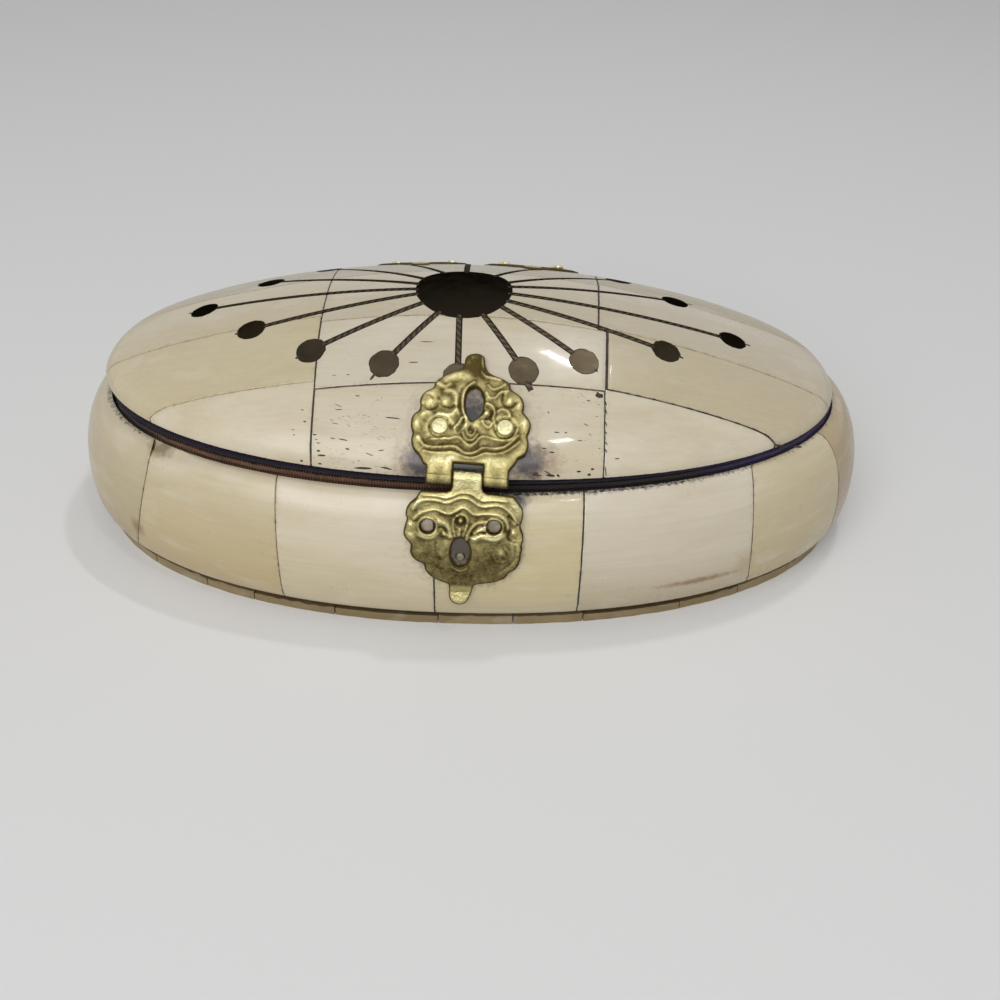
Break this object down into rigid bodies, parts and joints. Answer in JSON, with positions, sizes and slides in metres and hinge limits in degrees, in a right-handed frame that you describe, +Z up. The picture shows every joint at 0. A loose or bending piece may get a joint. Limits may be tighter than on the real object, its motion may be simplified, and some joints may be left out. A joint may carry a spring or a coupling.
{
  "type": "trinket box",
  "caption": "Oval keepsake box with a hinged domed lid, clad in bone tiles over a wooden core, with a brass sunburst inlay and a stamped brass latch.",
  "frame": {"origin": "middle of the resting plane under the box, at the bottom centre of its bounding box", "axes": "+X to the right along the box's length, +Z up, and the latch faces -Y"},
  "size_m": [0.1778, 0.1017, 0.0548],
  "materials": {
    "bone": "polished bone, cream with yellowish streaks and fine dark pores",
    "sheesham_wood": "bare brown hardwood with saw marks",
    "purple_velvet": "dark purple short-pile velvet",
    "stamped_brass": "stamped sheet brass, worn bright on the high spots",
    "worn_brass": "stamped sheet brass, darkened by handling",
    "tarnished_brass": "inlaid sheet brass, nearly black with tarnish",
    "pin_steel": "plain wire, dull grey"
  },
  "bodies": {
    "box": {"body_core": "sheesham_wood", "body_lining": "purple_velvet", "foot_board": "sheesham_wood", "foot_bone_ring": "bone", "side_panel_01": "bone", "side_panel_02": "bone", "side_panel_03": "bone", "side_panel_04": "bone", "side_panel_05": "bone", "side_panel_06": "bone", "side_panel_07": "bone", "side_panel_08": "bone", "side_panel_09": "bone", "side_panel_10": "bone", "side_panel_11": "bone", "side_panel_12": "bone", "side_panel_13": "bone", "side_panel_14": "bone", "catch_stud": "pin_steel", "hinge_body_leaf_left": "stamped_brass", "hinge_body_leaf_right": "stamped_brass", "hinge_pin_left": "pin_steel", "hinge_pin_right": "pin_steel", "hinge_body_nail_left_a": "stamped_brass", "hinge_body_nail_left_b": "stamped_brass", "hinge_body_nail_right_a": "stamped_brass", "hinge_body_nail_right_b": "stamped_brass"},
    "lid": {"lid_core": "sheesham_wood", "lid_lining": "purple_velvet", "lid_tile_1_1": "bone", "lid_tile_1_2": "bone", "lid_tile_1_3": "bone", "lid_tile_1_4": "bone", "lid_tile_1_5": "bone", "lid_tile_2_1": "bone", "lid_tile_2_2": "bone", "lid_tile_2_3": "bone", "lid_tile_2_4": "bone", "lid_tile_2_5": "bone", "lid_tile_3_1": "bone", "lid_tile_3_2": "bone", "lid_tile_3_3": "bone", "lid_tile_3_4": "bone", "lid_tile_3_5": "bone", "sunburst_inlay": "tarnished_brass", "latch_plate": "stamped_brass", "latch_pin": "pin_steel", "latch_nail_a": "stamped_brass", "latch_nail_b": "stamped_brass", "hinge_lid_leaf_left": "stamped_brass", "hinge_lid_leaf_right": "stamped_brass", "hinge_lid_nail_left_a": "stamped_brass", "hinge_lid_nail_left_b": "stamped_brass", "hinge_lid_nail_right_a": "stamped_brass", "hinge_lid_nail_right_b": "stamped_brass"},
    "flap": {"latch_flap": "worn_brass"}
  },
  "joints": [
    {"name": "lid_hinge", "type": "hinge", "parent": "box", "child": "lid", "pos_m": [0, 0.0433, 0.036], "axis": [-1, 0, 0], "range_deg": [0, 165]},
    {"name": "latch_hinge", "type": "hinge", "parent": "lid", "child": "flap", "pos_m": [0.0006, -0.0433, 0.036], "axis": [-0.9981, 0, 0.061], "range_deg": [0, 155]}
  ]
}
